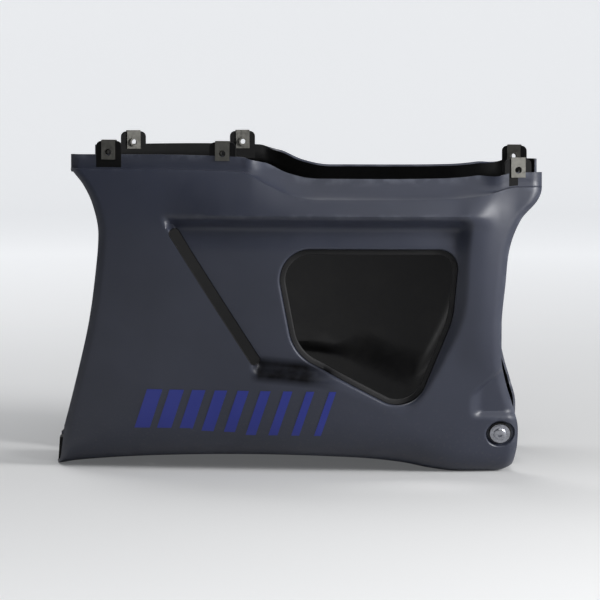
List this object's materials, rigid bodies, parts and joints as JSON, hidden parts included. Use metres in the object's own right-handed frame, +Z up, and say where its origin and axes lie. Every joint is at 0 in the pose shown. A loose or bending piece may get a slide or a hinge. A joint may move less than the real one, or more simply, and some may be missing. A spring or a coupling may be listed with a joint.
{
  "type": "motorcycle belly pan",
  "caption": "Belly pan of a sport motorcycle: two moulded halves joined along the keel, with a side window, a slanted air slot and a raised band below the seam.",
  "frame": {"origin": "under the middle of the pan, on the level surface that its underside rests on", "axes": "+X towards the rear of the motorcycle, +Y towards its right side, +Z up"},
  "size_m": [0.4397, 0.3936, 0.2983],
  "materials": {
    "painted_abs": "matte dark blue-grey paint on moulded ABS, bare black inside",
    "rubber": "black EPDM edge trim and grommets",
    "film": "dark blue printed film",
    "foil": "crinkled aluminium foil on a fibre mat",
    "steel": "zinc-plated steel",
    "zinc": "black-zinc spring steel",
    "black_nylon": "black nylon"
  },
  "bodies": {
    "root": {"left_cowl": "painted_abs", "right_cowl": "painted_abs", "window_seal": "rubber", "side_film": "film", "left_heat_mat": "foil", "right_heat_mat": "foil", "left_bolt": "steel", "right_bolt": "steel", "left_grommet": "rubber", "right_grommet": "rubber", "left_collar": "steel", "right_collar": "steel", "left_clip_nut_front": "zinc", "left_clip_nut_middle": "zinc", "left_clip_nut_rear": "zinc", "right_clip_nut_front": "zinc", "right_clip_nut_middle": "zinc", "right_clip_nut_rear": "zinc", "keel_rivet_front": "black_nylon", "keel_pin_front": "black_nylon", "keel_rivet_middle": "black_nylon", "keel_pin_middle": "black_nylon", "keel_rivet_rear": "black_nylon", "keel_pin_rear": "black_nylon"}
  },
  "joints": []
}
